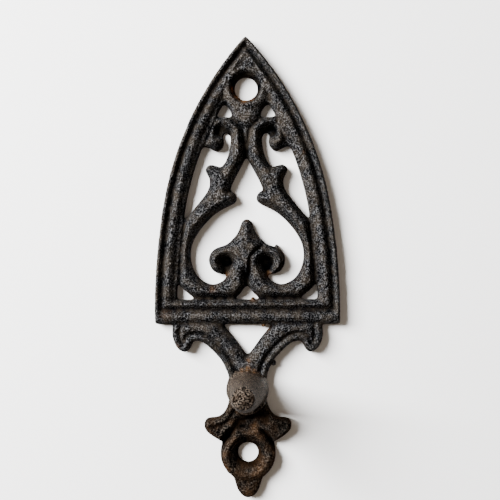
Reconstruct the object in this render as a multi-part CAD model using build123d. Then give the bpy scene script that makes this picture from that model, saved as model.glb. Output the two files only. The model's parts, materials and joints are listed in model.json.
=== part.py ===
"""Cast-iron wall hook: an openwork pointed-arch back plate on a yoke, with one horn and two screw holes.

The hook is one sand casting. It is built here member by member, as a pattern maker would carve it: each
rim, scroll, curl, arm and boss is a solid of its own, and neighbours meet face to face where the casting
creases.

Members are drawn flat on their backs: X to the right, Y up the wall, Z out of the wall, with the origin
where the horn's axis meets the wall. At the end each one is stood up, so that Z is up the wall and -Y
faces the room. Lengths are in millimetres.
"""
import os

from build123d import *

# ------------------------------------------------------------------------------------------ arch
ARCH_HALF_WIDTH = 28.2        # side of the plate at its base, from the middle
ARCH_HEIGHT = 87.6            # base edge to the point of the arch
ARCH_RISE = 19.2              # base edge above the horn's axis
SIDE_UPRIGHT = 3.8            # stretch of the side that stands straight up from the base
SHOULDER_RISE = 35.8          # shoulder above the base edge, where the side starts to close in
SHOULDER_LEAN = 2.7           # how far the side has leant in at the shoulder

# ------------------------------------------------------------------------- double-beaded mouldings
RIM_WIDTH = 7.0
RIM_OUTER_CREST = 1.1         # distances in from the outer edge
RIM_GROOVE = 2.5
RIM_INNER_CREST = 4.1
RAIL_WIDTH = 7.8
RAIL_OUTER_CREST = 2.8
RAIL_GROOVE = 4.7
RAIL_INNER_CREST = 6.4
BEAD_HEIGHT = 4.3             # crests above the wall
GROOVE_HEIGHT = 3.0
MOULDING_SIDE = 2.6           # height of the moulding's outer side
MOULDING_STEP = 1.7           # height of its inner side, where the tracery springs

# ------------------------------------------------------------------------------- upper screw boss
APEX_TO_HOLE = 16.1           # point of the arch to the hole's middle
UPPER_BORE_RADIUS = 3.3
UPPER_MOUTH_RADIUS = 4.8      # countersink at the front
UPPER_SINK = 1.5
BOSS_RADIUS = 6.2
BOSS_HEIGHT = 4.5
PEAK_DROP = 5.5               # point of the arch to the top of the little panel above the boss
PEAK_HALF_WIDTH = 4.4         # the little panel where it leaves the boss
PEAK_SEAT = 4.3               # where it leaves the boss, above the hole's middle

# ---------------------------------------------------------------------------------------- tracery
PATTERN_HALF_WIDTH = 21.2     # opening that the tracery's points are drawn for
PATTERN_HEIGHT = 79.8
SCROLL_HEIGHT = 4.5
SCROLL_BEVEL = 0.6            # bevel along the scrolls' and curls' free edges
CURL_HEIGHT = 4.7
TOP_EYE = (9, 50.8)           # blind round pit at the heart of each curl
TOP_EYE_RADIUS = 1.2
HEART_EYE = (4.9, 11.2)
HEART_EYE_RADIUS = 1.8
FLEURON_HEIGHT = 5.0
FLEURON_BEVEL = 1.1
STEM_HEIGHT = 4.6
STEM_SIDE = [(0, 46), (0.9, 51.4), (4.3, 54.8)]

# ------------------------------------------------------------------------------- yoke, neck, horn
ARM_PATTERN_RISE = 19.2       # base edge that the arms' points are drawn for
ARM_HEIGHT = 4.1
ARM_BEVEL = 0.8
FLUTE_RADIUS = 0.9            # half-round flutes along the arms and wings
ARM_FLUTE = [(2.4, 7.5), (4.7, 11.8), (8.2, 15.4), (12.6, 17.5), (17.5, 17), (20.3, 14.2)]
NECK_HALF_WIDTH = 5.9
NECK_HEIGHT = 5.2
NECK_TOP = 6.0                # crown of the neck above the horn's axis
NECK_BOTTOM = 7.5             # point of the neck below the horn's axis
HORN_ROOT_RADIUS = 5.5
HORN_TIP_RADIUS = 3.1
HORN_REACH = 39.0             # end of the horn, out from the wall
HORN_LIFT = 4.3               # how far the tip has turned up
HORN_SEAT = 1.6               # how deep the horn's root is let into the neck
HORN_TAPER = 0.8              # below 1, the horn thins faster near its root
HORN_STATIONS = (0, 0.25, 0.5, 0.75, 1)
HORN_END_ROUND = 1.1

# -------------------------------------------------------------------------------------- tail end
LOWER_HOLE_DROP = 19.4        # lower hole's middle below the horn's axis
LOWER_BORE_RADIUS = 2.9
LOWER_MOUTH_RADIUS = 5.6
LOWER_SINK = 1.6
EYE_RING_RADIUS = 8.55
EYE_RING_HEIGHT = 4.5
WING_HEIGHT = 4.1
WING_FLUTE = [(12, -12.8), (9, -11.6), (6.4, -9.6), (4.6, -7)]
TAIL_PATTERN_DROP = 19.4      # lower hole's drop that the wings' points are drawn for
TAIL_PATTERN_LENGTH = 13.7
TAIL_LENGTH = 13.7            # lower hole's middle to the tip of the tail
TAIL_HEIGHT = 3.7
EDGE_ROUND = 0.9              # softened front edges of the solid lower members

PANEL_BASE = ARCH_RISE + RAIL_WIDTH
PANEL_HALF_WIDTH = ARCH_HALF_WIDTH - RIM_WIDTH
PANEL_HEIGHT = ARCH_HEIGHT - RAIL_WIDTH
APEX = (0, ARCH_RISE + ARCH_HEIGHT)
UPPER_HOLE = (0, APEX[1] - APEX_TO_HOLE)
LOWER_HOLE = (0, -LOWER_HOLE_DROP)
ROOMY = 3 * ARCH_HALF_WIDTH   # larger than anything it cuts
OVERRUN = 1.15                # the side line is drawn this much longer, to cross the arch's middle


# ---------------------------------------------------------------------------------- drawing helpers
def on_panel(x, y):
    """A tracery point, given above the base rail, stretched from the pattern to the arch's opening."""
    return (x * PANEL_HALF_WIDTH / PATTERN_HALF_WIDTH, PANEL_BASE + y * PANEL_HEIGHT / PATTERN_HEIGHT)


def on_yoke(x, y):
    """A point of the arms, given above the horn's axis."""
    return (x, y * ARCH_RISE / ARM_PATTERN_RISE)


def on_tail(x, y):
    """A point of the neck's foot and the wings, given from the horn's axis down to the lower hole."""
    return (x, y * LOWER_HOLE_DROP / TAIL_PATTERN_DROP)


def below_hole(x, y):
    """A point of the tail, given from the middle of the lower hole."""
    return (x, LOWER_HOLE[1] + y * TAIL_LENGTH / TAIL_PATTERN_LENGTH)


def patch(place, start, *strands):
    """A flat face inside smooth strands that follow one another; a strand of one point is a straight line."""
    edges = []
    corner = place(*start)
    for strand in strands:
        points = [corner] + [place(*point) for point in strand]
        edges.append(Line(*points) if len(points) == 2 else Spline(*points))
        corner = points[-1]
    return make_face(edges)


def raised(face, height, bevel):
    """A member with the face as its footprint, and a bevel along the curved edges of its front."""
    solid = extrude(face, amount=height, dir=(0, 0, 1))
    front_edges = solid.edges().group_by(Axis.Z)[-1]
    return chamfer(front_edges.filter_by(GeomType.LINE, reverse=True), bevel)


def rounded_disc(radius, height, edge, centre):
    """A short post with a rounded front edge."""
    post = Pos(*centre, height / 2) * Cylinder(radius, height)
    return fillet(post.edges().group_by(Axis.Z)[-1], edge)


def column(face):
    """A cutter that runs through the whole depth of the casting."""
    return extrude(face, amount=ROOMY, dir=(0, 0, 1), both=True)


def sunk_hole(centre, bore_radius, mouth_radius, sink, height):
    """A through bore with a conical mouth at the front."""
    bore = Pos(*centre, height / 2) * Cylinder(bore_radius, 2 * height)
    mouth = Pos(*centre, height - sink / 2) * Cone(bore_radius, mouth_radius, sink)
    return bore + mouth


def flute(place, *points, height):
    """A half-round flute cut along a curve in a front face."""
    path = Spline(*[place(*point) for point in points])
    start = Plane(origin=path @ 0, z_dir=path % 0)
    cutter = sweep(start * Circle(FLUTE_RADIUS), path)
    return Pos(0, 0, height) * cutter


def mirrored(shape):
    """The same shape on the other side of the arch's middle."""
    return mirror(shape, about=Plane.YZ)


# ------------------------------------------------------------------------------------- arch members
def moulding_section(width, outer_crest, groove, inner_crest):
    """Two rounded beads with a groove between, drawn inward along X from the outer edge, and up Y."""
    front = Spline(
        (0, MOULDING_SIDE),
        (outer_crest, BEAD_HEIGHT),
        (groove, GROOVE_HEIGHT),
        (inner_crest, BEAD_HEIGHT),
        (width, MOULDING_STEP),
        tangents=[(1, 2), (1, 0), (1, 0), (1, 0), (1, -1)],
    )
    back = Polyline((0, MOULDING_SIDE), (0, 0), (width, 0), (width, MOULDING_STEP))
    return make_face([front, back])


def side_line():
    """The arch's right side, from below its base to past its point."""
    foot = (ARCH_HALF_WIDTH, ARCH_RISE - RAIL_WIDTH)
    upright = Line(foot, (ARCH_HALF_WIDTH, ARCH_RISE + SIDE_UPRIGHT))
    shoulder = (ARCH_HALF_WIDTH - SHOULDER_LEAN, ARCH_RISE + SHOULDER_RISE)
    lower = TangentArc(upright @ 1, shoulder, tangent=upright % 1)
    upper = TangentArc(shoulder, APEX, tangent=lower % 1)
    past_apex = TangentArc(shoulder, upper @ OVERRUN, tangent=lower % 1)
    return Wire([upright, lower, past_apex])


def arch_face():
    """Everything inside the arch's outer edge."""
    line = side_line()
    round_the_left = Polyline(line @ 1, (-ROOMY, APEX[1] + ROOMY), (-ROOMY, 0), (0, 0), line @ 0)
    half = make_face([*line.edges(), round_the_left])
    return half & mirrored(half)


def rail_footprint():
    """The base rail between its mitres, which follow the corners of the bead and groove."""
    corner = [
        (ARCH_HALF_WIDTH, ARCH_RISE),
        (ARCH_HALF_WIDTH - RIM_GROOVE, ARCH_RISE + RAIL_GROOVE),
        (ARCH_HALF_WIDTH - RIM_INNER_CREST, ARCH_RISE + RAIL_INNER_CREST),
        (ARCH_HALF_WIDTH - RIM_WIDTH, ARCH_RISE + RAIL_WIDTH),
    ]
    return make_face(Polyline(*corner, *[(-x, y) for x, y in reversed(corner)], close=True))


def right_rim():
    """The moulding swept up the arch's side, mitred at the base and cut at the middle of the arch."""
    line = side_line()
    section = Plane(origin=line @ 0, x_dir=(-1, 0, 0), z_dir=(0, 1, 0))
    moulding = moulding_section(RIM_WIDTH, RIM_OUTER_CREST, RIM_GROOVE, RIM_INNER_CREST)
    rim = sweep(section * moulding, path=line)
    keep = Pos(ROOMY / 2, ARCH_RISE + ROOMY) * Box(ROOMY, 2 * ROOMY, ROOMY)
    return rim & keep


def base_rail():
    """The straight moulding along the arch's base."""
    section = Plane(origin=(-ARCH_HALF_WIDTH, ARCH_RISE, 0), x_dir=(0, 1, 0), z_dir=(1, 0, 0))
    moulding = moulding_section(RAIL_WIDTH, RAIL_OUTER_CREST, RAIL_GROOVE, RAIL_INNER_CREST)
    rail = extrude(section * moulding, amount=2 * ARCH_HALF_WIDTH)
    return rail & column(rail_footprint())


# ------------------------------------------------------------------------------- tracery footprints
def boss_face():
    """The filled point of the opening, down to the crowns of the upper curls, less its two eyelets."""
    crowns = patch(on_panel, (0, 83), [(-14, 83)], [(-14, 54.8)], [(14, 54.8)], [(14, 83)], [(0, 83)])
    eyelet = patch(
        on_panel,
        (4.5, 55.2),
        [(8.9, 55.2)],
        [(8.4, 56.9), (7.3, 58.6)],
        [(6.8, 58.9), (6.2, 58.6)],
        [(5.1, 57.2), (4.5, 55.2)],
    )
    return crowns - eyelet - mirrored(eyelet)


def stem_face():
    """The stem that tapers down between the two upper curls."""
    corners = [on_panel(x, y) for x, y in STEM_SIDE]
    return make_face(Polyline(*corners, *[(-x, y) for x, y in reversed(corners[1:])], close=True))


def top_curl_face():
    """The right upper curl: up beside the stem, over the crown and down the rim to a hanging bulb."""
    beside_stem = [[corner] for corner in STEM_SIDE[1:]]
    return patch(
        on_panel,
        STEM_SIDE[0],
        *beside_stem,
        [(14, 54.8)],
        [(16, 46)],
        [(13.2, 46)],
        [(11.6, 45.7), (10.2, 45), (8.9, 44.5), (7.4, 45.4), (6.6, 47), (6.7, 48.4),
         (6.9, 49.4), (6.3, 50.2), (5.3, 49.7), (4.9, 48.2), (5.1, 46.5)],
        [(0, 46)],
    )


def scroll_face():
    """The right S ribbon from the middle of the arch out to its widest point, with its two leaf spurs."""
    return patch(
        on_panel,
        (0, 46),
        [(5.1, 46.5)],
        [(5.7, 43.7), (6.6, 41.6), (7.6, 40.2)],
        [(9.2, 40.5), (11.2, 40.8), (12.7, 39.2), (12.1, 37.7), (11.4, 36),
         (11.5, 34), (12.7, 31.8), (14.7, 29.2), (16.7, 26.7), (19.2, 23.9)],
        [(22, 22)],
        [(22, 14)],
        [(16.9, 14.3)],
        [(16.3, 17), (15.2, 19.2), (13.5, 21.6), (11.5, 23.8), (9.5, 25.6),
         (7.5, 26.9), (4.6, 28.3), (2.9, 29.6), (3, 31.5), (4.9, 32.8)],
        [(3.2, 36.7), (1.7, 39.5), (0, 43)],
        [(0, 46)],
    )


def foot_scroll_face():
    """The right ribbon's turn from its widest point along the base rail to the middle."""
    return patch(
        on_panel,
        (16.9, 14.3),
        [(22, 14)],
        [(22, 8)],
        [(21.4, 6)],
        [(20.6, 4.2), (18.5, 2), (16, 0)],
        [(14, -1)],
        [(4, -1)],
        [(3.4, 0.5)],
        [(2.2, 1.2), (1.2, 2.6)],
        [(6.2, 7.2)],
        [(7.2, 5.9), (8.5, 5.1), (10.5, 4.6), (12.5, 5.2), (14.2, 6.3), (15.3, 7.6), (16.2, 9.4),
         (16.8, 11.5), (16.9, 14.3)],
    )


def heart_curl_face():
    """The right inward curl: up beside the middle, over and down to a bulb that hangs in the opening."""
    return patch(
        on_panel,
        (1.2, 2.6),
        [(0, 4)],
        [(0, 7)],
        [(0.2, 9.5), (0.5, 11.8), (1.1, 13.6), (2.3, 15), (4, 16.2), (5.5, 17.2)],
        [(8, 16.1), (9.7, 15.5), (11.2, 14), (11.8, 12.1), (11.4, 10), (10.3, 8.3), (8.5, 7.5), (6.2, 7.2)],
        [(1.2, 2.6)],
    )


def fleuron_face():
    """The bud between the two inward curls."""
    half = [(1.2, 24), (2.1, 22.3), (2.8, 20.3), (4.1, 18.6), (5.5, 17.2)]
    crease = [(4, 16.2), (2.3, 15), (1.1, 13.6), (0.5, 11.8), (0.2, 9.5), (0, 7)]
    other = [(-x, y) for x, y in reversed(crease[:-1])] + [(-5.5, 17.2)]
    back = [(-x, y) for x, y in reversed(half[:-1])] + [(0, 24.5)]
    return patch(on_panel, (0, 24.5), half, crease, other, back)


# ---------------------------------------------------------------------------- yoke and tail footprints
def arm_face():
    """The right arm, from the crotch of the yoke up under the rail to its outward curled end."""
    return patch(
        on_yoke,
        (0, 10.2),
        [(1.6, 12.1), (3.2, 14.4), (5, 16.7), (7.2, 19.2)],
        [(22.7, 19.2)],
        [(23, 16.3), (22.3, 13.6), (20.6, 11.4), (18.4, 10.8), (17.1, 12.2), (16.3, 14)],
        [(15.2, 14.2), (13.6, 13.7), (12, 12.6), (10.4, 11.1), (9, 9.6), (7.7, 7.8), (6.8, 6),
         (6.1, 4), (NECK_HALF_WIDTH, 2)],
        [(0, 2)],
        [(0, 10.2)],
    )


def neck_face():
    """The block between the arms and the wings."""
    left, right = -NECK_HALF_WIDTH, NECK_HALF_WIDTH
    crown = [(-3.4, NECK_TOP - 1), (0, NECK_TOP), (3.4, NECK_TOP - 1), (right, 2)]
    point = [(3.2, 1.3 - NECK_BOTTOM), (0, -NECK_BOTTOM), (-3.2, 1.3 - NECK_BOTTOM), (left, -3.5)]
    top = patch(on_yoke, (left, 2), crown, [(right, 0)], [(left, 0)], [(left, 2)])
    bottom = patch(on_tail, (left, 0), [(right, 0)], [(right, -3.5)], point, [(left, 0)])
    return top + bottom


def wing_face():
    """The right leaf lobe, between the neck and the lower screw ring."""
    return patch(
        on_tail,
        (NECK_HALF_WIDTH, -3.5),
        [(6.4, -5.4), (7.2, -7), (8.4, -8.2), (10, -8.7), (11.6, -8.8), (13, -9.5), (13.4, -10.9),
         (12.8, -12.6), (11.6, -13.9), (10, -15), (7.5, -16.4)],
        [(0, -16)],
        [(0, -3.5)],
        [(NECK_HALF_WIDTH, -3.5)],
    )


def tail_face():
    """The rounded point below the lower screw ring."""
    side = [(4.4, -7.9), (3.8, -10), (2.7, -12.2), (0, -13.7)]
    other = [(-x, y) for x, y in reversed(side[:-1])] + [(-4.9, -6.4)]
    return patch(below_hole, (4.9, -6.4), side, other, [(4.9, -6.4)])


# ----------------------------------------------------------------------------------------- the horn
def hook_horn():
    """The horn, tapering and turning up from its root in the neck to a rounded end."""
    root = NECK_HEIGHT - HORN_SEAT
    sections = []
    for part in HORN_STATIONS:
        out = root + (HORN_REACH - root) * part
        lift = HORN_LIFT * part**2
        slope = 2 * HORN_LIFT * part / (HORN_REACH - root)
        radius = HORN_ROOT_RADIUS + (HORN_TIP_RADIUS - HORN_ROOT_RADIUS) * part**HORN_TAPER
        sections.append(Plane(origin=(0, lift, out), x_dir=(1, 0, 0), z_dir=(0, slope, 1)) * Circle(radius))
    horn = loft(sections)
    end = horn.faces().sort_by(Axis.Z)[-1]
    return fillet(end.edges(), HORN_END_ROUND)


# --------------------------------------------------------------------------------------- the members
def build_members():
    """Every member by name, still lying on its back."""
    right_side = right_rim()
    left_side = mirrored(right_side)
    rail = base_rail()
    side_plan = Sketch() + right_side.faces().filter_by(Plane.XY).group_by(Axis.Z)[0]
    moulding_plan = side_plan + mirrored(side_plan) + rail_footprint()

    seat = UPPER_HOLE[1] + PEAK_SEAT
    peak_corners = [(-PEAK_HALF_WIDTH, seat), (PEAK_HALF_WIDTH, seat), (0, APEX[1] - PEAK_DROP)]
    peak = make_face(Polyline(*peak_corners, close=True))
    boss_disc = Pos(*UPPER_HOLE) * Circle(BOSS_RADIUS) + peak
    boss_plan = (boss_face() & arch_face()) - moulding_plan + boss_disc
    boss = extrude(boss_plan, amount=BOSS_HEIGHT, dir=(0, 0, 1))
    boss -= sunk_hole(UPPER_HOLE, UPPER_BORE_RADIUS, UPPER_MOUTH_RADIUS, UPPER_SINK, BOSS_HEIGHT)

    frame = column(moulding_plan + boss_disc)
    stem = extrude(stem_face(), amount=STEM_HEIGHT, dir=(0, 0, 1)) - frame
    top_curl = raised(top_curl_face(), CURL_HEIGHT, SCROLL_BEVEL) - frame
    top_curl -= Pos(*on_panel(*TOP_EYE), CURL_HEIGHT) * Sphere(TOP_EYE_RADIUS)
    scroll = raised(scroll_face(), SCROLL_HEIGHT, SCROLL_BEVEL) - frame
    foot_scroll = raised(foot_scroll_face(), SCROLL_HEIGHT, SCROLL_BEVEL) - frame
    heart_curl = raised(heart_curl_face(), CURL_HEIGHT, SCROLL_BEVEL)
    heart_curl -= Pos(*on_panel(*HEART_EYE), CURL_HEIGHT) * Sphere(HEART_EYE_RADIUS)
    fleuron = raised(fleuron_face(), FLEURON_HEIGHT, FLEURON_BEVEL)

    ring_plan = Pos(*LOWER_HOLE) * Circle(EYE_RING_RADIUS)
    tail_eye = rounded_disc(EYE_RING_RADIUS, EYE_RING_HEIGHT, EDGE_ROUND, LOWER_HOLE)
    tail_eye -= sunk_hole(LOWER_HOLE, LOWER_BORE_RADIUS, LOWER_MOUTH_RADIUS, LOWER_SINK, EYE_RING_HEIGHT)
    horn = hook_horn()
    neck = raised(neck_face(), NECK_HEIGHT, ARM_BEVEL) - horn
    arm = raised(arm_face(), ARM_HEIGHT, ARM_BEVEL) - column(neck_face())
    arm -= flute(on_yoke, *ARM_FLUTE, height=ARM_HEIGHT)
    wing = raised(wing_face(), WING_HEIGHT, ARM_BEVEL) - column(ring_plan + neck_face())
    wing -= flute(on_tail, *WING_FLUTE, height=WING_HEIGHT)
    tail_tip = raised(tail_face(), TAIL_HEIGHT, ARM_BEVEL) - column(ring_plan)

    members = {
        "base_rail": rail,
        "apex_boss": boss,
        "top_stem": stem,
        "fleuron": fleuron,
        "neck": neck,
        "hook_horn": horn,
        "tail_eye": tail_eye,
        "tail_tip": tail_tip,
    }
    pairs = {
        "rim": right_side - column(boss_disc + rail_footprint()),
        "top_curl": top_curl,
        "scroll": scroll,
        "foot_scroll": foot_scroll,
        "heart_curl": heart_curl,
        "arm": arm,
        "wing": wing,
    }
    for name, solid in pairs.items():
        members["right_" + name] = solid
        members["left_" + name] = mirrored(solid)
    return members


os.makedirs("parts", exist_ok=True)
for node, member in build_members().items():
    export_step(Rot(90, 0, 0) * member, f"parts/{node}.step")
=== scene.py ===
"""A cast-iron wall hook, lying on a pale ground under soft light from the upper left.

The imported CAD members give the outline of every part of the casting. Over those outlines this script raises
the cast relief (beads, ridged ribbons, sunk eyes, fluted arms), meshes it as one skin, roughens it like
sand-cast iron, and parts the skin into one closed piece for each CAD member. The horn is drawn along its own
bent axis.

Shapes are worked out in millimetres in the plan of the plate: x to the right, z up the wall, and out from the
wall. They become metres in the row frame, where out is -Y, when the meshes are made.
"""
import itertools
import json
import math
import bpy
import numpy as np
from mathutils import Euler, Matrix, Vector


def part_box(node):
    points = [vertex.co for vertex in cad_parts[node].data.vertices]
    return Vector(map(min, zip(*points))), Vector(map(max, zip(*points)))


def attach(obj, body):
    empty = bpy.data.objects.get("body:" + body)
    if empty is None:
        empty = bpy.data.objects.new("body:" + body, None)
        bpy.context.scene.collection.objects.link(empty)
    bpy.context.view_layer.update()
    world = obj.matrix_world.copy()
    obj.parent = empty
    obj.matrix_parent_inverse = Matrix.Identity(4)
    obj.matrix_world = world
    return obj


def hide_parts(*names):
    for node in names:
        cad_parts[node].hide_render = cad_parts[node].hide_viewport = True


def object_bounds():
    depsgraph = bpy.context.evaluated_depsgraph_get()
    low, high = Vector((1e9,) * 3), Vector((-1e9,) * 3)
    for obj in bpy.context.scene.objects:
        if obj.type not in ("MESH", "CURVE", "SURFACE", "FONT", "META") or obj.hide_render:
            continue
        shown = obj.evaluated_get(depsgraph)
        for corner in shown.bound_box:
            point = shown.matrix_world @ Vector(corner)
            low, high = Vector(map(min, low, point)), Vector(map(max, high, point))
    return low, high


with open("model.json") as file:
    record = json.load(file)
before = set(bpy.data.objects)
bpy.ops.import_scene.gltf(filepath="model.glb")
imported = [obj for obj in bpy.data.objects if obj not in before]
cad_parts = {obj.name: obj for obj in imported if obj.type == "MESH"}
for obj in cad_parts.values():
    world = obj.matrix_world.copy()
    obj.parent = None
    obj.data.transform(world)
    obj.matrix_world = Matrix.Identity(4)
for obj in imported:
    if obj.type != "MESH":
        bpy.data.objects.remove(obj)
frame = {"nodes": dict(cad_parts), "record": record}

cad_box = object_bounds()
MM = 0.001

# -------------------------------------------------------------------------------------- plan and members
STEP = 0.2                      # spacing of the grid that the skin is meshed on
MARGIN = 1.317                  # grid round the outline; odd, so that no seam falls on a grid line
REACH = 6.0                     # edges farther off than this have no effect
EDGE_PIECE = 0.4                # outlines are cut into edges no longer than this
SEAM_GAP = 0.05                 # members nearer than this share a seam

MOULDINGS = ["left_rim", "right_rim", "base_rail"]
PLATE = sorted(name for name in frame["nodes"] if name != "hook_horn")

low, high = (np.array(corner) / MM for corner in cad_box)
GRID_X = np.arange(low[0] - MARGIN, high[0] + MARGIN, STEP)
GRID_Z = np.arange(low[2] - MARGIN, high[2] + MARGIN, STEP)
X, Z = GRID_X[:, None], GRID_Z[None, :]
PLAN = (len(GRID_X), len(GRID_Z))


def back_edges(node):
    """Outline of a CAD member's flat back, in short edges: rows of x0, z0, x1, z1."""
    mesh = frame["nodes"][node].data
    points = np.empty(len(mesh.vertices) * 3)
    mesh.vertices.foreach_get("co", points)
    points = np.round(points.reshape(-1, 3) / MM, 4)
    uses = {}
    for polygon in mesh.polygons:
        corners = [tuple(points[v]) for v in polygon.vertices]
        if all(abs(corner[1]) < 0.001 for corner in corners):
            for pair in zip(corners, corners[1:] + corners[:1]):
                key = tuple(sorted(pair))
                uses[key] = uses.get(key, 0) + 1
    edges = []
    for (a, b), count in uses.items():
        if count == 1:
            pieces = math.ceil(math.hypot(b[0] - a[0], b[2] - a[2]) / EDGE_PIECE)
            xs = np.linspace(a[0], b[0], pieces + 1)
            zs = np.linspace(a[2], b[2], pieces + 1)
            edges.extend(zip(xs, zs, xs[1:], zs[1:]))
    return np.array(edges)


def gap_to(x, z, edge):
    """Distance from plan points to one edge."""
    run_x, run_z = edge[2] - edge[0], edge[3] - edge[1]
    along = ((x - edge[0]) * run_x + (z - edge[1]) * run_z) / max(run_x**2 + run_z**2, 1e-12)
    along = np.clip(along, 0, 1)
    return np.hypot(x - edge[0] - along * run_x, z - edge[1] - along * run_z)


def distance(edges):
    """Distance from each grid point to the nearest edge, up to REACH."""
    nearest = np.full(PLAN, REACH)
    for edge in edges:
        i = slice(*np.searchsorted(GRID_X, (min(edge[0], edge[2]) - REACH, max(edge[0], edge[2]) + REACH)))
        k = slice(*np.searchsorted(GRID_Z, (min(edge[1], edge[3]) - REACH, max(edge[1], edge[3]) + REACH)))
        nearest[i, k] = np.minimum(nearest[i, k], gap_to(X[i], Z[:, k], edge))
    return nearest


def enclosed(edges):
    """True at the grid points that an outline encloses."""
    result = np.zeros(PLAN, bool)
    for x0, z0, x1, z1 in edges:
        k = slice(*np.searchsorted(GRID_Z, sorted((z0, z1))))
        if z0 != z1:
            result[:, k] ^= X < x0 + (Z[:, k] - z0) * (x1 - x0) / (z1 - z0)
    return result


EDGES = {name: back_edges(name) for name in PLATE}
INSIDE = {name: enclosed(EDGES[name]) for name in PLATE}
OWN_DEPTH = {name: np.where(INSIDE[name], 1, -1) * distance(EDGES[name]) for name in PLATE}


def free_edges(names, beside=()):
    """The edges of some members, without the seams they share with one another or with those beside them."""
    kept = []
    for name in names:
        edges = EDGES[name]
        mid_x, mid_z = (edges[:, 0] + edges[:, 2]) / 2, (edges[:, 1] + edges[:, 3]) / 2
        shared = np.zeros(len(edges), bool)
        for other in {*names, *beside} - {name}:
            for edge in EDGES[other]:
                shared |= gap_to(mid_x, mid_z, edge) < SEAM_GAP
        kept.append(edges[~shared])
    return np.concatenate(kept)


def depth_of(names, beside=(), hole=None):
    """How far in from their free edges the points of some members lie; negative outside them.

    The edge round a hole is left out, so that the relief can be given its own shape there.
    """
    covered = np.any([INSIDE[name] for name in names], axis=0)
    edges = free_edges(names, beside)
    if hole:
        edges = edges[np.hypot(edges[:, 0] - hole["x"], edges[:, 1] - hole["z"]) > hole["r"] + SEAM_GAP]
        covered = covered | (from_point(hole["x"], hole["z"]) < hole["r"] + STEP)
    depth = distance(edges)
    own = np.max([OWN_DEPTH[name] for name in names], axis=0)
    return np.where(covered, depth, np.minimum(own, 0))


def from_point(x, z):
    """Distance of every grid point from one point of the plan."""
    return np.hypot(X - x, Z - z)


def sided(name, side):
    """The member of a mirrored pair that is on one side: -1 is left, 1 is right."""
    return f"{'left' if side < 0 else 'right'}_{name}"


def mount_hole(name):
    """Middle and radius of a screw hole, from the record's mounts."""
    mount = next(m for m in frame["record"]["mounts"] if m["name"] == name)
    return {"x": mount["pos_m"][0] / MM, "z": mount["pos_m"][2] / MM, "r": mount["dims"]["r_mm"]}


UPPER_HOLE = mount_hole("top_screw_hole")
LOWER_HOLE = mount_hole("bottom_screw_hole")

# ---------------------------------------------------------------------------------------- relief shapes
FAR = 99.0                      # higher than any relief
FALL = 2.5                      # a member's skin drops this steeply outside its own outline
MEET = 0.9                      # neighbours' skins flow together over this height
SOFTEN = 0.22                   # sand-cast corners are never crisp
RING_TOP = 4.4                  # the fronts round the screw holes, above the wall

# Ridged members: height at the edge and at the crest, width of the climb, and its sharpness.
TRACERY_RIDGE = (1.7, 4.8, 2.2, 0.8)    # the scrolls and curls
BOSS_RIDGE = (2.3, 3.9, 2.6, 0.5)
FLEURON_RIDGE = (1.6, 5.4, 3.4, 0.9)
THROAT_RIDGE = (1.7, 4.5, 3.0, 0.6)     # the arms' slope down to the gap between them
NECK_RIDGE = (2.7, 5.2, 4.2, 0.0)
TIP_RIDGE = (2.4, 4.0, 3.6, 0.2)        # the rounded point of the tail

# Fluted members: height at the edge and at the crest, and width of the climb; then how far in the flute lies,
# its depth and its width.
ARM_FLUTE = (1.9, 4.2, 1.7, 2.7, 1.2, 0.7)
WING_FLUTE = (2.2, 4.2, 1.6, 2.7, 1.0, 0.8)

# The mouldings' stops across their width: side, outer crest, groove, inner crest, inner edge.
RIM_STOPS = (0, 1.1, 2.3, 4.1, 7.0)
RAIL_STOPS = (0, 2.8, 4.7, 6.4, 7.8)
STOP_HEIGHTS = (2.2, 4.3, 2.9, 4.5, 1.6)

# Sunk eyes of the curls: start and end of the slit, and its radius at each.
HEART_EYE = ((6.3, 34.6), (6.1, 37.9), 0.3, 1.7)
TOP_EYE = ((5.8, 76.9), (7.6, 77.7), 1.2, 1.6)
EYE_FLOOR = 0.9                 # height of an eye's bottom above the wall
CREASE = {-1: 0.40, 1: 0.72}    # how far the crease beside the bud opens, left and right

MOUTH_WIDTH = 1.8               # the upper screw hole's mouth, from the bore out
MOUTH_SLOPE = 2.0
RING_ROUND = 0.30               # how quickly the raised ring round the mouth rounds off
RING_MEET = 0.5                 # the ring and the boss flow together over this height
# Hollows between the screw boss and the rims: middle, reach and depth.
BOSS_HOLLOWS = ((-7.3, 88.2, 1.8, 2.0), (6.9, 88.2, 1.7, 2.0))

THROAT = (7.4, 10.1)            # half width, and foot, of the gap between the arms
ARM_MEET = 0.5                  # an arm's bead and its slope flow together over this height
UNDERCUT = ((-2.2, -10.6), (4.6, -9.2), 0.9, 1.3)       # slit of the hollow below the horn
UNDERCUT_FLOOR = 1.5
UNDERCUT_SLOPE = 1.4

TAIL_TOP = (0, -12.0)           # where the tail's body runs out below the neck
TAIL_TOP_RADIUS = 1.6
EYE_RING_WIDTH = 3.8            # from the lower bore to the start of the ring's fall
EYE_RING_FALL = ((0, 1.6, 3.0), (4.3, 3.3, 0.5))        # distance past that start, and height
DISH = ((0, 1.8, 3.2), (1.6, 3.0, 4.3))                 # distance from the lower bore, and height

# Nubs of casting flash: middle and radius.
FLASH = ((7.9, 7.6, 0.95), (9.0, 42.9, 0.75), (4.9, 19.1, 0.8), (1.7, 27.0, 0.7))
FLASH_HEIGHT = 2.6


def soft_max(a, b, reach):
    """The larger of two fields, rounded where they differ by less than the reach."""
    gap = np.maximum(reach - np.abs(a - b), 0)
    return np.maximum(a, b) + gap * gap / (4 * reach)


def soft_min(a, b, reach):
    """The smaller of two fields, rounded likewise."""
    return -soft_max(-a, -b, reach)


def swell(t):
    """Runs smoothly from 0 to 1 as t does, and stays there."""
    return 0.5 - 0.5 * np.cos(np.clip(t, 0, 1) * math.pi)


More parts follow.
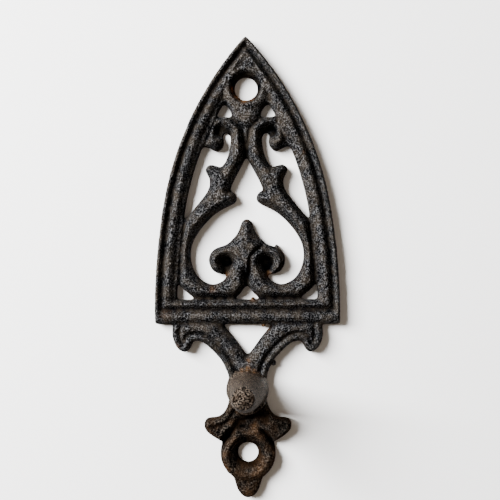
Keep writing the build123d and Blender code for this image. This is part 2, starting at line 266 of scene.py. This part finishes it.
def ridged(depth, edge, crest, half_width, sharpness):
    """A height that climbs from a member's edge to its crest: straight at sharpness 1, domed at 0."""
    t = np.clip(depth / half_width, 0, 1)
    climb = sharpness * t + (1 - sharpness) * (1 - (1 - t) ** 2)
    return edge + (crest - edge) * climb + FALL * np.minimum(depth, 0)


def fluted(depth, edge, crest, crest_at, flute_at, flute_depth, flute_width):
    """A height that climbs to a broad crest, with a narrow flute sunk in it some way in from the edge."""
    bead = edge + (crest - edge) * np.sin(np.clip(depth / crest_at, 0, 1) * math.pi / 2)
    flute = flute_depth * np.exp(-(((depth - flute_at) / flute_width) ** 2))
    return bead - flute + FALL * np.minimum(depth, 0)


def slit(start, end, start_radius, end_radius):
    """Distance outside a sunk slit with round ends."""
    run_x, run_z = end[0] - start[0], end[1] - start[1]
    along = np.clip(((X - start[0]) * run_x + (Z - start[1]) * run_z) / (run_x**2 + run_z**2), 0, 1)
    gap = np.hypot(X - start[0] - along * run_x, Z - start[1] - along * run_z)
    return gap - start_radius - (end_radius - start_radius) * along


def convex_ring(points):
    """Convex hull of plan points, as a ring of corners."""
    ring = []
    for walk in (sorted(points), sorted(points, reverse=True)):
        chain = []
        for p in walk:
            while len(chain) > 1:
                (ax, az), (bx, bz) = chain[-2:]
                if (bx - ax) * (p[1] - az) - (bz - az) * (p[0] - ax) > 0:
                    break
                chain.pop()
            chain.append(p)
        ring += chain[:-1]
    return ring


def moulding_height():
    """Two beads that run round the arch, mitred where its sides meet each other and the base."""
    corners = convex_ring({(e[0], e[1]) for name in MOULDINGS for e in EDGES[name]})
    base = min(z for _, z in corners)
    ring = [(*a, *b) for a, b in zip(corners, corners[1:] + corners[:1])]
    sides = distance([edge for edge in ring if max(edge[1], edge[3]) > base + SEAM_GAP])
    places = range(len(STOP_HEIGHTS))
    stop = np.minimum(np.interp(sides, RIM_STOPS, places), np.interp(Z - base, RAIL_STOPS, places))
    side, outer, groove, inner, last = STOP_HEIGHTS
    height = side + (outer - side) * np.sin(np.clip(stop, 0, 1) * math.pi / 2)
    height = height + (groove - outer) * swell(stop - 1) + (inner - groove) * swell(stop - 2)
    height = height + (last - inner) * (1 - np.cos(np.clip(stop - 3, 0, 1) * math.pi / 2))
    return height + FALL * np.minimum(depth_of(MOULDINGS), 0)


def tracery_height(side):
    """One side's scrolls and curls: a ribbon with a ridge along it, sunk at the eyes."""
    names = [sided(name, side) for name in ("top_curl", "scroll", "foot_scroll", "heart_curl")]
    crease = CREASE[side]
    depth = crease * depth_of(names) + (1 - crease) * depth_of(names, beside=["fleuron"])
    bulk = depth > 0
    for (x0, z0), (x1, z1), r0, r1 in (HEART_EYE, TOP_EYE):
        depth = np.minimum(depth, slit((side * x0, z0), (side * x1, z1), r0, r1))
    height = ridged(depth, *TRACERY_RIDGE)
    return np.where(bulk, np.maximum(height, EYE_FLOOR), height)


def boss_height():
    """The upper screw boss with its sunk mouth, the web up to the arch's point, and the stem below."""
    radius = from_point(UPPER_HOLE["x"], UPPER_HOLE["z"])
    depth = depth_of(["apex_boss", "top_stem"], beside=["left_rim", "right_rim"], hole=UPPER_HOLE)
    body = ridged(depth, *BOSS_RIDGE)
    crest = UPPER_HOLE["r"] + MOUTH_WIDTH
    ring = RING_TOP - RING_ROUND * (radius - crest) ** 2
    mouth = np.where(radius < crest, RING_TOP - MOUTH_SLOPE * (crest - radius), FAR)
    for x, z, reach, sunk in BOSS_HOLLOWS:
        body = body - sunk * np.exp(-((from_point(x, z) / reach) ** 2))
    return np.minimum(soft_max(body, ring, RING_MEET), mouth)


def fleuron_height():
    """The bud: sharp ridges that run in from its three points."""
    depth = depth_of(["fleuron"], beside=["left_heart_curl", "right_heart_curl"])
    return ridged(depth, *FLEURON_RIDGE)


def arm_height(side):
    """An arm: a bead and a flute along its outer edge, and a slope down to the gap between the arms."""
    edges = free_edges([sided("arm", side)], beside=["base_rail", "neck", sided("arm", -side)])
    half_width, foot = THROAT
    throat = (np.abs(edges[:, 0]) < half_width) & (edges[:, 1] > foot)
    outside = FALL * np.minimum(OWN_DEPTH[sided("arm", side)], 0)
    bead = fluted(distance(edges[~throat]), *ARM_FLUTE)
    slope = ridged(distance(edges[throat]), *THROAT_RIDGE)
    return soft_min(bead, slope, ARM_MEET) + outside


def undercut():
    """The hollow between the neck and the tail."""
    return UNDERCUT_FLOOR + UNDERCUT_SLOPE * np.maximum(slit(*UNDERCUT), 0)


def wing_height(side):
    """A leaf lobe beside the neck's foot, with a flute along its free edge."""
    depth = depth_of([sided("wing", side)], beside=["neck", sided("wing", -side)])
    return np.minimum(fluted(depth, *WING_FLUTE), undercut())


def neck_height():
    """The domed block that carries the horn."""
    beside = [sided(name, side) for name in ("arm", "wing") for side in (-1, 1)]
    return ridged(depth_of(["neck"], beside=beside), *NECK_RIDGE)


def eye_ring_height():
    """The tail's body: dished round the lower screw hole, and narrowing upward to the foot of the neck."""
    centre = (LOWER_HOLE["x"], LOWER_HOLE["z"])
    bore = LOWER_HOLE["r"]
    body = np.interp(slit(centre, TAIL_TOP, bore + EYE_RING_WIDTH, TAIL_TOP_RADIUS), *EYE_RING_FALL)
    dish = np.interp(from_point(*centre) - bore, *DISH)
    return np.minimum(np.minimum(body, dish), undercut())


def tail_tip_height():
    """The rounded point below the lower screw hole."""
    return ridged(depth_of(["tail_tip"], beside=["tail_eye"]), *TIP_RIDGE)


def plate_height():
    """Height of the whole plate's front above the wall."""
    heights = [moulding_height(), boss_height(), fleuron_height(), neck_height(), eye_ring_height()]
    heights += [tail_tip_height()]
    for side in (-1, 1):
        heights += [tracery_height(side), arm_height(side), wing_height(side)]
    total = heights[0]
    for height in heights[1:]:
        total = soft_max(total, height, MEET)
    for x, z, radius in FLASH:
        total = np.maximum(total, np.where(from_point(x, z) < radius + STEP, FLASH_HEIGHT, 0))
    return blur(total, SOFTEN)


def blur(field, sigma):
    """Gaussian blur over the plan."""
    reach = math.ceil(3 * sigma / STEP)
    weights = np.exp(-0.5 * (np.arange(-reach, reach + 1) * STEP / sigma) ** 2)
    for axis in (0, 1):
        size = field.shape[axis]
        padded = np.pad(field, [(reach, reach) if a == axis else (0, 0) for a in (0, 1)], mode="edge")
        field = sum(w * padded.take(range(k, k + size), axis) for k, w in enumerate(weights / weights.sum()))
    return field


# ------------------------------------------------------------------------------------- meshing the skin
SIDE_SWELL = -0.20              # the sides stand this far inside the CAD outline at the back
SIDE_DRAFT = 0.03               # and lean in by this much more for each millimetre out
CORNER = 0.7                    # softening where the front turns into the sides
BLUNT = 0.5                     # blunting of the outline's points
OUT = np.arange(-0.47, 6.0, STEP)       # the grid's layers, from behind the wall to past the relief


def casting_field(height):
    """Positive inside the casting, over plan and out."""
    side = distance(free_edges(PLATE)) * np.where(np.any(list(INSIDE.values()), axis=0), 1, -1)
    side = blur(side, BLUNT)
    for x, z, radius in FLASH:
        side = np.maximum(side, radius - from_point(x, z))
    field = soft_min(height[:, :, None] - OUT, (side + SIDE_SWELL)[:, :, None] - SIDE_DRAFT * OUT, CORNER)
    return np.minimum(field, OUT).astype(np.float32)


def shifted(array, corner):
    """The values at one corner of every grid cell."""
    return array[tuple(slice(c, c + n - 1) for c, n in zip(corner, array.shape))]


def net(field, owner):
    """Surface net round every member: shared points, and quads with the member before and behind each."""
    label = np.where(field > 0, owner[:, :, None], 0).astype(np.int8)
    corners = list(itertools.product((0, 1), repeat=3))
    views = [shifted(label, corner) for corner in corners]
    active = np.minimum.reduce(views) != np.maximum.reduce(views)
    cells = np.argwhere(active)
    number = np.full(active.shape, -1)
    number[active] = np.arange(len(cells))

    sums = np.zeros((2, len(cells), 3))
    counts = np.zeros((2, len(cells), 1))
    for a, b in itertools.combinations(corners, 2):
        if sum(abs(p - q) for p, q in zip(a, b)) != 1:
            continue
        at_a, at_b = tuple((cells + a).T), tuple((cells + b).T)
        crossed = label[at_a] != label[at_b]
        skin = crossed & ((label[at_a] == 0) | (label[at_b] == 0))
        change = np.where(skin, field[at_a] - field[at_b], 1)
        t = np.where(skin, field[at_a] / change, 0.5)[:, None]
        point = np.array(a) * (1 - t) + np.array(b) * t
        for kind, mask in enumerate((skin, crossed & ~skin)):
            sums[kind] += point * mask[:, None]
            counts[kind] += mask[:, None]
    mean = sums / np.maximum(counts, 1)
    points = cells + np.where(counts[0] > 0, mean[0], mean[1])

    quads, behind, before = [], [], []
    for axis in range(3):
        lower, upper = [slice(1, -1)] * 3, [slice(1, -1)] * 3
        lower[axis], upper[axis] = slice(0, -1), slice(1, None)
        at = np.argwhere(label[tuple(lower)] != label[tuple(upper)])
        at += [0 if a == axis else 1 for a in range(3)]
        step_up = np.eye(3, dtype=int)[axis]
        u, v = np.eye(3, dtype=int)[(axis + 1) % 3], np.eye(3, dtype=int)[(axis + 2) % 3]
        ring = [number[tuple((at - back).T)] for back in (u + v, v, 0 * u, u)]
        quads.append(np.stack(ring, axis=1))
        behind.append(label[tuple(at.T)])
        before.append(label[tuple((at + step_up).T)])
    return points, np.concatenate(quads), np.concatenate(behind), np.concatenate(before)


def skin_normals(points, quads, behind, before):
    """Unit normals of the outer skin at every point."""
    outer = (behind == 0) | (before == 0)
    ring = np.where((behind == 0)[:, None], quads[:, ::-1], quads)[outer]
    area = np.cross(points[ring[:, 2]] - points[ring[:, 0]], points[ring[:, 3]] - points[ring[:, 1]])
    normals = np.zeros_like(points)
    for corner in range(4):
        for axis in range(3):
            normals[:, axis] += np.bincount(ring[:, corner], area[:, axis], len(points))
    return normals / np.maximum(np.linalg.norm(normals, axis=1, keepdims=True), 1e-9)


SKEW = np.array(Euler((0.6, 0.9, 0.4)).to_matrix())     # keeps the lumps from lining up with straight edges
LATTICE = 64                    # the lumps repeat after this many wavelengths

# Sand grain: wavelength and height of each size of lump.
CAST_GRAIN = ((0.5, 0.13), (0.8, 0.07), (3.0, 0.14))
WORN_GRAIN = ((0.6, 0.11), (1.4, 0.10), (4.0, 0.20))
SIDE_SHARE = 0.35               # share of the grain that the sides get
SMOOTH_BACK = 0.8               # the grain fades out over this distance from the back


def lumps(points, wavelength, seed):
    """A smooth random field between -1 and 1 with bumps of about that wavelength."""
    lattice = np.random.default_rng(seed).uniform(-1, 1, (LATTICE, LATTICE, LATTICE))
    place = points @ SKEW / wavelength
    cell = np.floor(place).astype(int)
    t = place - cell
    t = t * t * (3 - 2 * t)
    total = np.zeros(len(points))
    for corner in itertools.product((0, 1), repeat=3):
        weight = np.prod(np.where(corner, t, 1 - t), axis=1)
        total += weight * lattice[tuple(((cell + corner) % LATTICE).T)]
    return total


def roughened(points, normals, grain):
    """The points moved along their normals by the sand grain: less on the sides, not at all on the back."""
    rise = sum(h * lumps(points, w, seed) for seed, (w, h) in enumerate(grain))
    facing_out = np.clip(normals[:, 2], 0, 1)
    held = np.clip(points[:, 2] / SMOOTH_BACK, 0, 1) * (SIDE_SHARE + (1 - SIDE_SHARE) * facing_out)
    return points + normals * (rise * held)[:, None]


# ------------------------------------------------------------------------------------------- materials
# Rust: middle x, z, radius, strength.
RUST_SPOTS = (
    (-0.5, 86.9, 1.0, 1.0), (-2.6, 88.2, 1.0, 1.0), (-3.9, 90.2, 0.8, 0.9), (1.6, 87.5, 0.8, 0.8),
    (5.0, 18.4, 1.2, 1.0), (1.8, 27.6, 1.0, 1.0), (-6.4, 34.6, 0.7, 0.8), (6.6, 34.4, 0.8, 0.9),
    (0.2, 6.4, 0.7, 0.6), (0.4, 8.6, 0.6, 0.5), (2.2, 5.6, 0.6, 0.6), (-1.6, 5.9, 0.6, 0.4),
    (-10.3, 30.2, 1.1, 0.25), (-21.5, 12.8, 1.0, 0.3), (2.0, -11.5, 1.2, 0.2), (3.5, -14.0, 1.4, 0.12),
    (-7.0, -24.0, 1.2, 0.45), (3.0, -23.5, 1.8, 0.15), (0.0, -31.0, 1.6, 0.15), (0.0, 51.0, 0.7, 0.3),
    (17.5, 71.0, 0.6, 0.3), (26.5, 49.0, 0.6, 0.25), (-24.5, 22.5, 1.6, 0.12), (15.5, 36.0, 0.8, 0.25),
)
RUST_REACH = 5.0                # rust fades beyond this height
HOLLOW_REACH = 1.3              # the skin is compared with its mean over about this distance
HOLLOW_DEPTH = 0.75             # sunk by this much, a hollow is painted fully black as shade

GRAIN_SIZE = 0.42               # spacing of the sand grain's pits
GRAIN_RANGE = (0.45, 0.61)      # noise values over which a pit turns into a face
GRAIN_BUMP = 0.5                # height of the finest grain, which only the shading shows
PATCH_RANGE = (0.42, 0.68)
CRUMB_SIZE = 0.8                # crumbs of bright rust
CRUMB_RANGE = (0.30, 0.62)
CRUMB_BLEND = 1.1               # size of the crumbs' lighter and darker patches
DARK_CRUMB = (0.13, 0.045, 0.013, 1)
PALE_CRUMB = (0.22, 0.130, 0.060, 1)
GLANCING = (0.4, 0.8)           # seen this far aslant, the skin loses its gloss


def painted_crease_shade(height):
    """How sunk each plan point is below the skin round it: 1 in the creases, 0 on the open faces. It drives
    painted shade: the iron's colour turns black where it is 1.
    """
    level = np.maximum(height, 0)
    # The screw holes count as filled to the rings' top, so their mouths read as sunk and get painted shade
    # too.
    for hole in (UPPER_HOLE, LOWER_HOLE):
        level = np.where(from_point(hole["x"], hole["z"]) < hole["r"], RING_TOP, level)
    sunk = blur(level, HOLLOW_REACH) - height
    return np.clip(sunk / HOLLOW_DEPTH, 0, 1)


def on_plan(field, points):
    """The field's values at the points."""
    i = np.clip(np.rint((points[:, 0] - GRID_X[0]) / STEP).astype(int), 0, PLAN[0] - 1)
    k = np.clip(np.rint((points[:, 1] - GRID_Z[0]) / STEP).astype(int), 0, PLAN[1] - 1)
    return field[i, k]


def rust_at(points):
    """How rusty each point is, from 0 to 1."""
    total = np.zeros(len(points))
    for x, z, radius, strength in RUST_SPOTS:
        total += strength * np.exp(-((points[:, 0] - x) ** 2 + (points[:, 1] - z) ** 2) / radius**2)
    return np.clip(total, 0, 1) * np.exp(-np.maximum(points[:, 2] - RUST_REACH, 0))


class Nodes:
    """Adds shader nodes to one material and links them."""

    def __init__(self, name):
        self.material = bpy.data.materials.new(name)
        self.material.use_nodes = True
        self.tree = self.material.node_tree
        self.shader = self.tree.nodes["Principled BSDF"]
        self.place = self.add("ShaderNodeTexCoord").outputs["Object"]

    def add(self, kind, **inputs):
        """A new node, with its inputs set or linked."""
        node = self.tree.nodes.new(kind)
        for name, value in inputs.items():
            self.put(value, node.inputs[name.replace("_", " ")])
        return node

    def put(self, value, socket):
        """Links a socket's value, or sets a plain one."""
        if isinstance(value, bpy.types.NodeSocket):
            self.tree.links.new(value, socket)
        else:
            socket.default_value = value

    def attribute(self, name):
        """A value that the skin carries at its points."""
        node = self.tree.nodes.new("ShaderNodeAttribute")
        node.attribute_name = name
        return node.outputs["Fac"]

    def noise(self, size_mm, detail=2.0):
        """A noise pattern with features of about that size."""
        node = self.add("ShaderNodeTexNoise", Vector=self.place, Scale=1 / (size_mm * MM), Detail=detail)
        return node.outputs["Fac"]

    def ramp(self, value, span, result=(0.0, 1.0)):
        """Runs through the result as the value runs through the span."""
        ends = {"From Min": span[0], "From Max": span[1], "To Min": result[0], "To Max": result[1]}
        return self.add("ShaderNodeMapRange", Value=value, **ends).outputs["Result"]

    def maths(self, operation, a, b):
        """A product, a difference or the larger of two values, as the operation says."""
        node = self.tree.nodes.new("ShaderNodeMath")
        node.operation = operation
        self.put(a, node.inputs[0])
        self.put(b, node.inputs[1])
        return node.outputs["Value"]

    def mix(self, factor, a, b):
        """Colour a turning into colour b as the factor runs from 0 to 1."""
        node = self.tree.nodes.new("ShaderNodeMix")
        node.data_type = "RGBA"
        self.put(factor, node.inputs["Factor"])
        self.put(a, node.inputs["A"])
        self.put(b, node.inputs["B"])
        return node.outputs["Result"]


def iron(name, pit, face, tint, tint_share, tint_size, gloss, ior, bare):
    """Cast iron: black pits, greyer faces, a tint of old rust, and bright rust on its spots, with painted
    shade that turns the hollows black.

    Gloss is the roughness of the faces and of the pits. Bare iron is metal all over, and other iron only in
    its pits and in its painted-shade hollows.
    """
    nodes = Nodes(name)
    shader = nodes.shader.inputs
    noise = nodes.noise(GRAIN_SIZE)
    # Painted shade: where the hollow attribute is 1, the colour turns to the black pit colour, together with
    # the random sand-grain pits.
    open_face = nodes.ramp(nodes.attribute("hollow"), (1.0, 0.0))
    grain_and_crease_shade = nodes.maths("MULTIPLY", nodes.ramp(noise, GRAIN_RANGE), open_face)
    patches = nodes.maths("MULTIPLY", nodes.ramp(nodes.noise(tint_size, 4.0), PATCH_RANGE), tint_share)
    broken = nodes.ramp(nodes.noise(CRUMB_SIZE, 3.0), CRUMB_RANGE)
    crumbs = nodes.maths("MULTIPLY", nodes.attribute("rust"), broken)
    crumb_colour = nodes.mix(nodes.noise(CRUMB_BLEND), DARK_CRUMB, PALE_CRUMB)
    colour = nodes.mix(grain_and_crease_shade, (*pit, 1), (*face, 1))
    colour = nodes.mix(patches, colour, (*tint, 1))
    nodes.put(nodes.mix(crumbs, colour, crumb_colour), shader["Base Color"])

    glancing = nodes.ramp(nodes.add("ShaderNodeLayerWeight", Blend=0.5).outputs["Facing"], GLANCING)
    roughness = nodes.ramp(grain_and_crease_shade, (0.0, 1.0), gloss[::-1])
    nodes.put(nodes.maths("MAXIMUM", roughness, glancing), shader["Roughness"])
    if bare:
        shader["Metallic"].default_value = 1.0
        shader["Specular Tint"].default_value = (0.0, 0.0, 0.0, 1.0)
    else:
        nodes.put(nodes.maths("SUBTRACT", 1.0, nodes.maths("MAXIMUM", grain_and_crease_shade, crumbs)), shader["Metallic"])
    shader["IOR"].default_value = ior
    relief = nodes.add("ShaderNodeBump", Height=noise, Strength=1.0, Distance=GRAIN_BUMP * MM)
    nodes.put(relief.outputs["Normal"], shader["Normal"])
    return nodes.material


MATERIALS = {
    "cast_iron": iron(
        "cast_iron", pit=(0.0004, 0.0005, 0.0008), face=(0.0610, 0.0605, 0.0620),
        tint=(0.0680, 0.0540, 0.0400), tint_share=0.40, tint_size=3.0, gloss=(0.48, 0.80), ior=1.32,
        bare=True),
    "worn_iron": iron(
        "worn_iron", pit=(0.0012, 0.0009, 0.0006), face=(0.0800, 0.0620, 0.0480),
        tint=(0.0130, 0.0078, 0.0046), tint_share=0.85, tint_size=1.8, gloss=(0.55, 0.80), ior=1.10,
        bare=False),
    "tail_iron": iron(
        "browned_iron", pit=(0.0004, 0.0004, 0.0004), face=(0.0400, 0.0330, 0.0270),
        tint=(0.0440, 0.0245, 0.0130), tint_share=0.50, tint_size=3.0, gloss=(0.50, 0.80), ior=1.22,
        bare=True),
}
SLOTS = {part["node"]: part["material_slot"] for part in frame["record"]["subparts"]}


def add_piece(node, points, faces, normals, hollow):
    """Makes one member's mesh from plan points in millimetres, and lets it stand for the CAD member."""
    mesh = bpy.data.meshes.new(node + "_skin")
    place = np.stack([points[:, 0], -points[:, 2], points[:, 1]], axis=1) * MM
    facing = np.stack([normals[:, 0], -normals[:, 2], normals[:, 1]], axis=1)
    mesh.vertices.add(len(place))
    mesh.vertices.foreach_set("co", place.ravel())
    mesh.loops.add(faces.size)
    mesh.loops.foreach_set("vertex_index", faces.ravel())
    mesh.polygons.add(len(faces))
    mesh.polygons.foreach_set("loop_start", np.arange(len(faces)) * faces.shape[1])
    mesh.update(calc_edges=True)
    mesh.attributes.new("rust", "FLOAT", "POINT").data.foreach_set("value", rust_at(points))
    # The hollow attribute carries the painted crease shade that darkens the iron's colour.
    mesh.attributes.new("hollow", "FLOAT", "POINT").data.foreach_set("value", hollow)
    mesh.polygons.foreach_set("use_smooth", np.ones(len(faces), bool))
    mesh.normals_split_custom_set_from_vertices(facing)
    mesh.materials.append(MATERIALS[SLOTS[node]])
    piece = bpy.data.objects.new(node + "_casting", mesh)
    bpy.context.scene.collection.objects.link(piece)
    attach(piece, "root")
    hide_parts(node)


def add_plate():
    """The whole casting but the horn, as one skin parted into its members."""
    depths = np.array([OWN_DEPTH[name] for name in PLATE])
    owner = 1 + depths.argmax(axis=0)
    height = plate_height()
    points, quads, behind, before = net(casting_field(height), owner)
    points = points * STEP + [GRID_X[0], GRID_Z[0], OUT[0]]
    normals = skin_normals(points, quads, behind, before)
    # Painted shade for the creases and hole mouths, faded out towards the back.
    hollow = on_plan(painted_crease_shade(height), points) * np.clip(points[:, 2], 0, 1)
    points = roughened(points, normals, CAST_GRAIN)
    normals = skin_normals(points, quads, behind, before)
    for k, name in enumerate(PLATE):
        faces = np.concatenate([quads[behind == k + 1], quads[before == k + 1][:, ::-1]])
        used, local = np.unique(faces, return_inverse=True)
        add_piece(name, points[used], local.reshape(-1, 4), normals[used], hollow[used])


# ------------------------------------------------------------------------------------------------ horn
HORN_TIP_RADIUS = 3.1
HORN_TAPER = 0.8                # below 1, the horn thins faster near its root
HORN_LIFT = 4.3                 # how far its end has turned up
HORN_FLARE = 0.9                # its root spreads into the neck
FLARE_REACH = 1.8
HORN_SUNK = 1.8                 # its root runs on this far inside the neck
HORN_SHORT = 0.35               # its rim stops this short of the CAD horn's end, to leave room for the nub
HORN_NUB = 0.7                  # how far the rough nub stands out of the horn's end
LIP = 0.9                       # rounding of the horn's end
HORN_SIDES = 96
HORN_RINGS = 110
LIP_RINGS = 9
NUB_RINGS = 8
PIN_HOLE = 0.01                 # the nub's last ring, closed by a cap
NUB_GRAIN = ((0.8, 0.22, 7), (0.5, 0.12, 8))            # wavelength, height and seed


def horn_rings():
    """Rings along the horn: each one's place on the axis, from 0 to 1, its radius, and a push farther out."""
    horn_low, horn_high = (np.array(corner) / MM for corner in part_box("hook_horn"))
    root_radius = horn_high[0]
    root, reach = -horn_high[1], -horn_low[1] - HORN_SHORT
    length = reach - root
    t = np.linspace(-HORN_SUNK / length, 1, HORN_RINGS)
    bare = np.maximum(t, 0)
    radius = root_radius + (HORN_TIP_RADIUS - root_radius) * bare**HORN_TAPER
    radius = radius + HORN_FLARE * np.exp(-bare * length / FLARE_REACH)
    turn = np.linspace(0, math.pi / 2, LIP_RINGS + 1)[1:]
    lip_t = 1 + LIP * (np.sin(turn) - 1) / length
    shaft = t < lip_t[0]
    inward = np.linspace(1, 0, NUB_RINGS + 1)[1:]
    flat = radius[-1] - LIP
    ring_t = np.concatenate([t[shaft], lip_t, np.ones(NUB_RINGS)])
    ring_r = np.concatenate([radius[shaft], flat + LIP * np.cos(turn), np.maximum(flat * inward, PIN_HOLE)])
    push = np.concatenate([np.zeros(shaft.sum() + LIP_RINGS), HORN_NUB * np.sqrt(1 - inward**2)])
    return root, reach, ring_t, ring_r, push


def ring_points(root, reach, ring_t, ring_r, push):
    """Points of rings that stand square to the horn's bent axis."""
    angle = np.linspace(0, 2 * math.pi, HORN_SIDES, endpoint=False)
    bare = np.maximum(ring_t, 0)
    slope = np.arctan2(2 * HORN_LIFT * bare, reach - root)[:, None]
    out = (root + (reach - root) * ring_t)[:, None]
    rise = (HORN_LIFT * bare**2)[:, None]
    across = ring_r[:, None] * np.cos(angle)
    up = ring_r[:, None] * np.sin(angle)
    push = push[:, None]
    z = rise + up * np.cos(slope) + push * np.sin(slope)
    y = out - up * np.sin(slope) + push * np.cos(slope)
    return np.stack([across, z, y], axis=2).reshape(-1, 3)


def end_cap(count):
    """Quads that close a ring of points with strips across it."""
    strips = []
    a, b = 0, count - 1
    while b - a > 2:
        strips.append((a, b, b - 1, a + 1))
        a, b = a + 1, b - 1
    return np.array(strips)


def ring_faces(rings):
    """Quads between neighbouring rings, and over both ends."""
    ring, spoke = np.meshgrid(np.arange(rings - 1), np.arange(HORN_SIDES), indexing="ij")
    here, there = ring * HORN_SIDES, (ring + 1) * HORN_SIDES
    along = (spoke + 1) % HORN_SIDES
    tube = np.stack([here + spoke, here + along, there + along, there + spoke], axis=2).reshape(-1, 4)
    cap = end_cap(HORN_SIDES)
    far_cap = (rings - 1) * HORN_SIDES + cap[:, ::-1]
    return np.concatenate([tube, cap, far_cap])[:, ::-1]


def add_horn():
    """The horn, with a rounded lip and a rough nub at its end."""
    root, reach, ring_t, ring_r, push = horn_rings()
    points = ring_points(root, reach, ring_t, ring_r, push)
    faces = ring_faces(len(ring_t))
    inside = np.ones(len(faces), int)
    normals = skin_normals(points, faces, inside, 0 * inside)
    on_nub = np.repeat(ring_t >= 1, HORN_SIDES)
    past_root = np.repeat(np.arange(len(ring_t)) > 0, HORN_SIDES)
    nub_grain = np.where(on_nub, sum(h * lumps(points, w, seed) for w, h, seed in NUB_GRAIN), 0)
    moved = roughened(points, normals, WORN_GRAIN) + normals * nub_grain[:, None]
    points = np.where(past_root[:, None], moved, points)
    normals = skin_normals(points, faces, inside, 0 * inside)
    add_piece("hook_horn", points, faces, normals, np.zeros(len(points)))


# ------------------------------------------------------------------------------- ground, light, camera
GROUND_COLOUR = (0.86, 0.855, 0.85, 1)
GROUND_ROUGHNESS = 0.9
GROUND_CENTRE = (0, 0.0003, 0.05)       # in metres; a hair behind the hook's back
HOOK_CENTRE = (0, 0, 0.042)             # in metres; about the middle of the hook


def add_ground(size):
    """A plain pale plane behind the hook. It is clear from behind, so that the hook's back can be seen."""
    mesh = bpy.data.meshes.new("ground")
    half = size / 2
    corners = [(-half, -half, 0), (half, -half, 0), (half, half, 0), (-half, half, 0)]
    mesh.from_pydata(corners, [], [(0, 1, 2, 3)])
    plane = bpy.data.objects.new("ground", mesh)
    plane.rotation_euler = Vector((0, -1, 0)).to_track_quat("Z", "Y").to_euler()
    plane.location = GROUND_CENTRE
    nodes = Nodes("ground")
    nodes.shader.inputs["Base Color"].default_value = GROUND_COLOUR
    nodes.shader.inputs["Roughness"].default_value = GROUND_ROUGHNESS
    geometry = nodes.add("ShaderNodeNewGeometry")
    clear = nodes.add("ShaderNodeBsdfTransparent")
    mixer = nodes.add("ShaderNodeMixShader", Fac=geometry.outputs["Backfacing"])
    nodes.put(nodes.shader.outputs["BSDF"], mixer.inputs[1])
    nodes.put(clear.outputs["BSDF"], mixer.inputs[2])
    nodes.put(mixer.outputs["Shader"], nodes.tree.nodes["Material Output"].inputs["Surface"])
    plane.visible_shadow = False
    mesh.materials.append(nodes.material)
    bpy.context.scene.collection.objects.link(plane)


def add_light(name, place, target, size, power, colour=(1, 1, 1)):
    """A large soft square lamp."""
    lamp = bpy.data.lights.new(name, "AREA")
    lamp.size = size
    lamp.energy = power
    lamp.color = colour
    thing = bpy.data.objects.new(name, lamp)
    thing.location = place
    thing.rotation_euler = (Vector(target) - Vector(place)).to_track_quat("-Z", "Y").to_euler()
    bpy.context.scene.collection.objects.link(thing)


def add_world(colour, strength):
    """An even light from all round."""
    world = bpy.data.worlds.new("studio")
    world.use_nodes = True
    background = world.node_tree.nodes["Background"]
    background.inputs["Color"].default_value = (*colour, 1)
    background.inputs["Strength"].default_value = strength
    bpy.context.scene.world = world


def add_camera(place, target, view_angle, roll):
    """The camera looks from a place to a target, rolled about its own axis."""
    lens = bpy.data.cameras.new("camera")
    lens.angle = math.radians(view_angle)
    camera = bpy.data.objects.new("camera", lens)
    aim = (Vector(target) - Vector(place)).to_track_quat("-Z", "Y").to_matrix().to_4x4()
    turn = Matrix.Rotation(math.radians(roll), 4, "Z")
    camera.matrix_world = Matrix.Translation(place) @ aim @ turn
    bpy.context.scene.collection.objects.link(camera)
    bpy.context.scene.camera = camera


add_plate()
add_horn()

add_ground(size=2.0)
add_light("key", (-0.51, -0.46, 0.33), HOOK_CENTRE, size=0.40, power=45.0, colour=(0.98, 0.985, 0.99))
add_light("back_fill", (0.5, 0.7, 0.5), HOOK_CENTRE, size=0.5, power=25.0)
add_world((1.0, 0.84, 0.68), strength=0.27)
add_camera((0.0070, -0.230, 0.0418), (0.0009, 0, 0.0418), view_angle=36.6, roll=-0.34)
